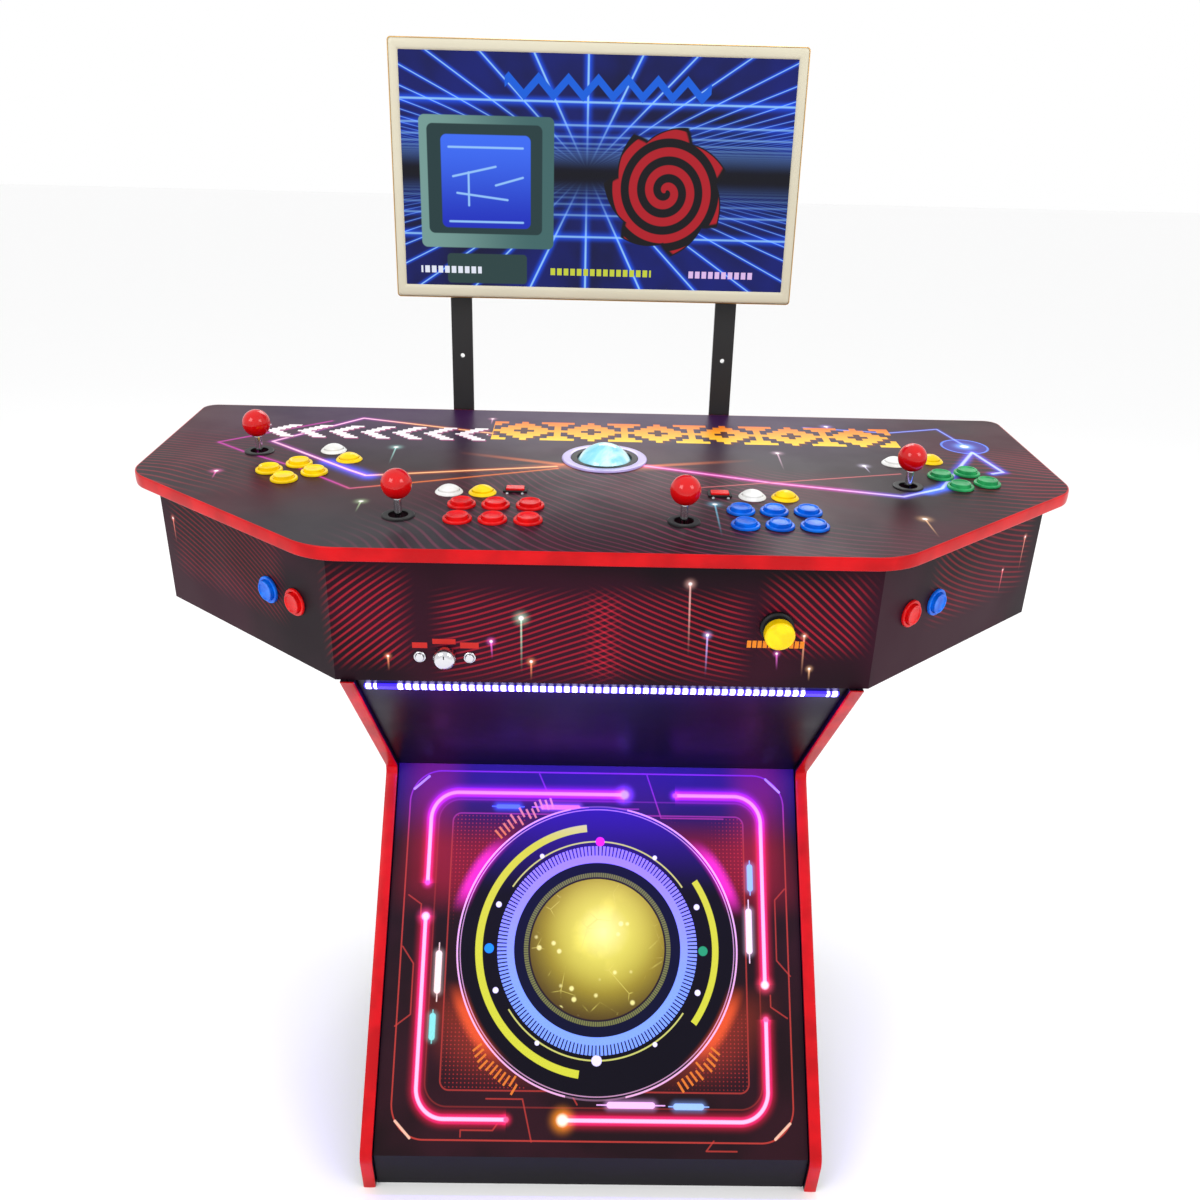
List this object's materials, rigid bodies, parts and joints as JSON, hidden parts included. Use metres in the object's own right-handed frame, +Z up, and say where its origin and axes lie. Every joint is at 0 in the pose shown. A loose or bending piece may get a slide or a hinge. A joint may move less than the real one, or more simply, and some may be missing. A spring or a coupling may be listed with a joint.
{
  "type": "arcade cabinet",
  "caption": "Free-standing pedestal arcade cabinet with a wide control deck of joysticks, push buttons and a trackball, and a flat monitor on two posts behind it.",
  "frame": {"origin": "on the floor, at the middle of the pedestal's footprint", "axes": "+Z up, +X to the right as the players see it, and the players stand on the -Y side"},
  "size_m": [1.172, 0.5838, 1.4085],
  "materials": {
    "printed_board": "printed laminate on board, satin",
    "dark_board": "dark laminate on board, satin",
    "red_moulding": "glossy red edge moulding",
    "light_strip": "lit blue-violet strip",
    "cream_plastic": "cream bezel",
    "screen_panel": "lit display panel",
    "black_steel": "black paint",
    "black_plastic": "black",
    "circuit_board": "green circuit board",
    "steel_screw": "zinc plated",
    "steel_button": "polished",
    "chrome": "polished",
    "lit_ball": "translucent, lit from inside",
    "yellow_plastic": "glossy",
    "white_plastic": "glossy",
    "red_plastic": "glossy",
    "blue_plastic": "glossy",
    "green_plastic": "glossy"
  },
  "bodies": {
    "cabinet": {"control_panel": "printed_board", "edge_mouldings": "red_moulding", "control_box": "printed_board", "pedestal_carcass": "dark_board", "lower_front_panel": "printed_board", "light_strip": "light_strip", "monitor_housing": "cream_plastic", "monitor_screen": "screen_panel", "monitor_mount": "black_steel", "control_housings": "black_plastic", "trackball_housing": "black_plastic", "electronics": "circuit_board", "fasteners": "steel_screw"},
    "p1_button_1": {"p1_button_1": "yellow_plastic"},
    "p1_button_2": {"p1_button_2": "yellow_plastic"},
    "p1_button_3": {"p1_button_3": "yellow_plastic"},
    "p1_button_4": {"p1_button_4": "yellow_plastic"},
    "p1_start_button": {"p1_start_button": "white_plastic"},
    "p1_select_button": {"p1_select_button": "yellow_plastic"},
    "p2_button_1": {"p2_button_1": "red_plastic"},
    "p2_button_2": {"p2_button_2": "red_plastic"},
    "p2_button_3": {"p2_button_3": "red_plastic"},
    "p2_button_4": {"p2_button_4": "red_plastic"},
    "p2_button_5": {"p2_button_5": "red_plastic"},
    "p2_button_6": {"p2_button_6": "red_plastic"},
    "p2_start_button": {"p2_start_button": "white_plastic"},
    "p2_select_button": {"p2_select_button": "yellow_plastic"},
    "p3_button_1": {"p3_button_1": "blue_plastic"},
    "p3_button_2": {"p3_button_2": "blue_plastic"},
    "p3_button_3": {"p3_button_3": "blue_plastic"},
    "p3_button_4": {"p3_button_4": "blue_plastic"},
    "p3_button_5": {"p3_button_5": "blue_plastic"},
    "p3_button_6": {"p3_button_6": "blue_plastic"},
    "p3_start_button": {"p3_start_button": "white_plastic"},
    "p3_select_button": {"p3_select_button": "yellow_plastic"},
    "p4_button_1": {"p4_button_1": "green_plastic"},
    "p4_button_2": {"p4_button_2": "green_plastic"},
    "p4_button_3": {"p4_button_3": "green_plastic"},
    "p4_button_4": {"p4_button_4": "green_plastic"},
    "p4_start_button": {"p4_start_button": "white_plastic"},
    "p4_select_button": {"p4_select_button": "yellow_plastic"},
    "p2_small_button": {"p2_small_button": "red_plastic"},
    "p3_small_button": {"p3_small_button": "red_plastic"},
    "left_flipper_front": {"left_flipper_front": "red_plastic"},
    "left_flipper_rear": {"left_flipper_rear": "blue_plastic"},
    "right_flipper_front": {"right_flipper_front": "red_plastic"},
    "right_flipper_rear": {"right_flipper_rear": "blue_plastic"},
    "menu_button_left": {"menu_button_left": "steel_button"},
    "menu_button_right": {"menu_button_right": "steel_button"},
    "volume_knob": {"volume_knob": "chrome"},
    "pull_plunger": {"pull_plunger": "yellow_plastic"},
    "trackball": {"trackball": "lit_ball"},
    "p1_joystick_pivot": {"p1_joystick_pivot": "black_steel"},
    "p1_joystick": {"p1_joystick": "red_plastic"},
    "p2_joystick_pivot": {"p2_joystick_pivot": "black_steel"},
    "p2_joystick": {"p2_joystick": "red_plastic"},
    "p3_joystick_pivot": {"p3_joystick_pivot": "black_steel"},
    "p3_joystick": {"p3_joystick": "red_plastic"},
    "p4_joystick_pivot": {"p4_joystick_pivot": "black_steel"},
    "p4_joystick": {"p4_joystick": "red_plastic"}
  },
  "joints": [
    {"name": "p1_button_1_press", "type": "slide", "parent": "cabinet", "child": "p1_button_1", "axis": [0, 0.0698, -0.9976], "range_m": [0, 0.003], "stiffness_N_per_m": 200, "springref_m": -0.002},
    {"name": "p1_button_2_press", "type": "slide", "parent": "cabinet", "child": "p1_button_2", "axis": [0, 0.0698, -0.9976], "range_m": [0, 0.003], "stiffness_N_per_m": 200, "springref_m": -0.002},
    {"name": "p1_button_3_press", "type": "slide", "parent": "cabinet", "child": "p1_button_3", "axis": [0, 0.0698, -0.9976], "range_m": [0, 0.003], "stiffness_N_per_m": 200, "springref_m": -0.002},
    {"name": "p1_button_4_press", "type": "slide", "parent": "cabinet", "child": "p1_button_4", "axis": [0, 0.0698, -0.9976], "range_m": [0, 0.003], "stiffness_N_per_m": 200, "springref_m": -0.002},
    {"name": "p1_start_button_press", "type": "slide", "parent": "cabinet", "child": "p1_start_button", "axis": [0, 0.0698, -0.9976], "range_m": [0, 0.003], "stiffness_N_per_m": 200, "springref_m": -0.002},
    {"name": "p1_select_button_press", "type": "slide", "parent": "cabinet", "child": "p1_select_button", "axis": [0, 0.0698, -0.9976], "range_m": [0, 0.003], "stiffness_N_per_m": 200, "springref_m": -0.002},
    {"name": "p2_button_1_press", "type": "slide", "parent": "cabinet", "child": "p2_button_1", "axis": [0, 0.0698, -0.9976], "range_m": [0, 0.003], "stiffness_N_per_m": 200, "springref_m": -0.002},
    {"name": "p2_button_2_press", "type": "slide", "parent": "cabinet", "child": "p2_button_2", "axis": [0, 0.0698, -0.9976], "range_m": [0, 0.003], "stiffness_N_per_m": 200, "springref_m": -0.002},
    {"name": "p2_button_3_press", "type": "slide", "parent": "cabinet", "child": "p2_button_3", "axis": [0, 0.0698, -0.9976], "range_m": [0, 0.003], "stiffness_N_per_m": 200, "springref_m": -0.002},
    {"name": "p2_button_4_press", "type": "slide", "parent": "cabinet", "child": "p2_button_4", "axis": [0, 0.0698, -0.9976], "range_m": [0, 0.003], "stiffness_N_per_m": 200, "springref_m": -0.002},
    {"name": "p2_button_5_press", "type": "slide", "parent": "cabinet", "child": "p2_button_5", "axis": [0, 0.0698, -0.9976], "range_m": [0, 0.003], "stiffness_N_per_m": 200, "springref_m": -0.002},
    {"name": "p2_button_6_press", "type": "slide", "parent": "cabinet", "child": "p2_button_6", "axis": [0, 0.0698, -0.9976], "range_m": [0, 0.003], "stiffness_N_per_m": 200, "springref_m": -0.002},
    {"name": "p2_start_button_press", "type": "slide", "parent": "cabinet", "child": "p2_start_button", "axis": [0, 0.0698, -0.9976], "range_m": [0, 0.003], "stiffness_N_per_m": 200, "springref_m": -0.002},
    {"name": "p2_select_button_press", "type": "slide", "parent": "cabinet", "child": "p2_select_button", "axis": [0, 0.0698, -0.9976], "range_m": [0, 0.003], "stiffness_N_per_m": 200, "springref_m": -0.002},
    {"name": "p3_button_1_press", "type": "slide", "parent": "cabinet", "child": "p3_button_1", "axis": [0, 0.0698, -0.9976], "range_m": [0, 0.003], "stiffness_N_per_m": 200, "springref_m": -0.002},
    {"name": "p3_button_2_press", "type": "slide", "parent": "cabinet", "child": "p3_button_2", "axis": [0, 0.0698, -0.9976], "range_m": [0, 0.003], "stiffness_N_per_m": 200, "springref_m": -0.002},
    {"name": "p3_button_3_press", "type": "slide", "parent": "cabinet", "child": "p3_button_3", "axis": [0, 0.0698, -0.9976], "range_m": [0, 0.003], "stiffness_N_per_m": 200, "springref_m": -0.002},
    {"name": "p3_button_4_press", "type": "slide", "parent": "cabinet", "child": "p3_button_4", "axis": [0, 0.0698, -0.9976], "range_m": [0, 0.003], "stiffness_N_per_m": 200, "springref_m": -0.002},
    {"name": "p3_button_5_press", "type": "slide", "parent": "cabinet", "child": "p3_button_5", "axis": [0, 0.0698, -0.9976], "range_m": [0, 0.003], "stiffness_N_per_m": 200, "springref_m": -0.002},
    {"name": "p3_button_6_press", "type": "slide", "parent": "cabinet", "child": "p3_button_6", "axis": [0, 0.0698, -0.9976], "range_m": [0, 0.003], "stiffness_N_per_m": 200, "springref_m": -0.002},
    {"name": "p3_start_button_press", "type": "slide", "parent": "cabinet", "child": "p3_start_button", "axis": [0, 0.0698, -0.9976], "range_m": [0, 0.003], "stiffness_N_per_m": 200, "springref_m": -0.002},
    {"name": "p3_select_button_press", "type": "slide", "parent": "cabinet", "child": "p3_select_button", "axis": [0, 0.0698, -0.9976], "range_m": [0, 0.003], "stiffness_N_per_m": 200, "springref_m": -0.002},
    {"name": "p4_button_1_press", "type": "slide", "parent": "cabinet", "child": "p4_button_1", "axis": [0, 0.0698, -0.9976], "range_m": [0, 0.003], "stiffness_N_per_m": 200, "springref_m": -0.002},
    {"name": "p4_button_2_press", "type": "slide", "parent": "cabinet", "child": "p4_button_2", "axis": [0, 0.0698, -0.9976], "range_m": [0, 0.003], "stiffness_N_per_m": 200, "springref_m": -0.002},
    {"name": "p4_button_3_press", "type": "slide", "parent": "cabinet", "child": "p4_button_3", "axis": [0, 0.0698, -0.9976], "range_m": [0, 0.003], "stiffness_N_per_m": 200, "springref_m": -0.002},
    {"name": "p4_button_4_press", "type": "slide", "parent": "cabinet", "child": "p4_button_4", "axis": [0, 0.0698, -0.9976], "range_m": [0, 0.003], "stiffness_N_per_m": 200, "springref_m": -0.002},
    {"name": "p4_start_button_press", "type": "slide", "parent": "cabinet", "child": "p4_start_button", "axis": [0, 0.0698, -0.9976], "range_m": [0, 0.003], "stiffness_N_per_m": 200, "springref_m": -0.002},
    {"name": "p4_select_button_press", "type": "slide", "parent": "cabinet", "child": "p4_select_button", "axis": [0, 0.0698, -0.9976], "range_m": [0, 0.003], "stiffness_N_per_m": 200, "springref_m": -0.002},
    {"name": "p2_small_button_press", "type": "slide", "parent": "cabinet", "child": "p2_small_button", "axis": [0, 0.0698, -0.9976], "range_m": [0, 0.0015], "stiffness_N_per_m": 300, "springref_m": -0.001},
    {"name": "p3_small_button_press", "type": "slide", "parent": "cabinet", "child": "p3_small_button", "axis": [0, 0.0698, -0.9976], "range_m": [0, 0.0015], "stiffness_N_per_m": 300, "springref_m": -0.001},
    {"name": "left_flipper_front_press", "type": "slide", "parent": "cabinet", "child": "left_flipper_front", "axis": [0.6385, 0.7677, 0.0537], "range_m": [0, 0.003], "stiffness_N_per_m": 200, "springref_m": -0.002},
    {"name": "left_flipper_rear_press", "type": "slide", "parent": "cabinet", "child": "left_flipper_rear", "axis": [0.6385, 0.7677, 0.0537], "range_m": [0, 0.003], "stiffness_N_per_m": 200, "springref_m": -0.002},
    {"name": "right_flipper_front_press", "type": "slide", "parent": "cabinet", "child": "right_flipper_front", "axis": [-0.6385, 0.7677, 0.0537], "range_m": [0, 0.003], "stiffness_N_per_m": 200, "springref_m": -0.002},
    {"name": "right_flipper_rear_press", "type": "slide", "parent": "cabinet", "child": "right_flipper_rear", "axis": [-0.6385, 0.7677, 0.0537], "range_m": [0, 0.003], "stiffness_N_per_m": 200, "springref_m": -0.002},
    {"name": "menu_button_left_press", "type": "slide", "parent": "cabinet", "child": "menu_button_left", "axis": [0, 0.9976, 0.0698], "range_m": [0, 0.0015], "stiffness_N_per_m": 300, "springref_m": -0.001},
    {"name": "menu_button_right_press", "type": "slide", "parent": "cabinet", "child": "menu_button_right", "axis": [0, 0.9976, 0.0698], "range_m": [0, 0.0015], "stiffness_N_per_m": 300, "springref_m": -0.001},
    {"name": "volume_knob_turn", "type": "hinge", "parent": "cabinet", "child": "volume_knob", "pos_m": [-0.179, -0.17966, 0.7423], "axis": [0, 0.9976, 0.0698], "range_deg": [-150, 150]},
    {"name": "pull_plunger_pull", "type": "slide", "parent": "cabinet", "child": "pull_plunger", "axis": [0, -0.9976, -0.0698], "range_m": [0, 0.03], "stiffness_N_per_m": 250, "springref_m": -0.006},
    {"name": "trackball_roll", "type": "hinge", "parent": "cabinet", "child": "trackball", "pos_m": [0, 0.09193, 0.8866], "axis": [1, 0, 0], "continuous": true},
    {"name": "p1_stick_side_to_side", "type": "hinge", "parent": "cabinet", "child": "p1_joystick_pivot", "pos_m": [-0.45, 0.09611, 0.86985], "axis": [0.766, 0.6412, 0.0448], "range_deg": [-7, 7], "stiffness_Nm_per_rad": 0.8},
    {"name": "p1_stick_fore_and_aft", "type": "hinge", "parent": "p1_joystick_pivot", "child": "p1_joystick", "pos_m": [-0.45, 0.09611, 0.86985], "axis": [0.6428, -0.7642, -0.0534], "range_deg": [-7, 7], "stiffness_Nm_per_rad": 0.8},
    {"name": "p2_stick_side_to_side", "type": "hinge", "parent": "cabinet", "child": "p2_joystick_pivot", "pos_m": [-0.235, -0.11986, 0.85474], "axis": [0, 0.9976, 0.0698], "range_deg": [-7, 7], "stiffness_Nm_per_rad": 0.8},
    {"name": "p2_stick_fore_and_aft", "type": "hinge", "parent": "p2_joystick_pivot", "child": "p2_joystick", "pos_m": [-0.235, -0.11986, 0.85474], "axis": [1, 0, 0], "range_deg": [-7, 7], "stiffness_Nm_per_rad": 0.8},
    {"name": "p3_stick_side_to_side", "type": "hinge", "parent": "cabinet", "child": "p3_joystick_pivot", "pos_m": [0.088, -0.12186, 0.85461], "axis": [0, 0.9976, 0.0698], "range_deg": [-7, 7], "stiffness_Nm_per_rad": 0.8},
    {"name": "p3_stick_fore_and_aft", "type": "hinge", "parent": "p3_joystick_pivot", "child": "p3_joystick", "pos_m": [0.088, -0.12186, 0.85461], "axis": [1, 0, 0], "range_deg": [-7, 7], "stiffness_Nm_per_rad": 0.8},
    {"name": "p4_stick_side_to_side", "type": "hinge", "parent": "cabinet", "child": "p4_joystick_pivot", "pos_m": [0.3775, 0.01032, 0.86385], "axis": [-0.342, 0.9374, 0.0655], "range_deg": [-7, 7], "stiffness_Nm_per_rad": 0.8},
    {"name": "p4_stick_fore_and_aft", "type": "hinge", "parent": "p4_joystick_pivot", "child": "p4_joystick", "pos_m": [0.3775, 0.01032, 0.86385], "axis": [0.9397, 0.3412, 0.0239], "range_deg": [-7, 7], "stiffness_Nm_per_rad": 0.8}
  ]
}
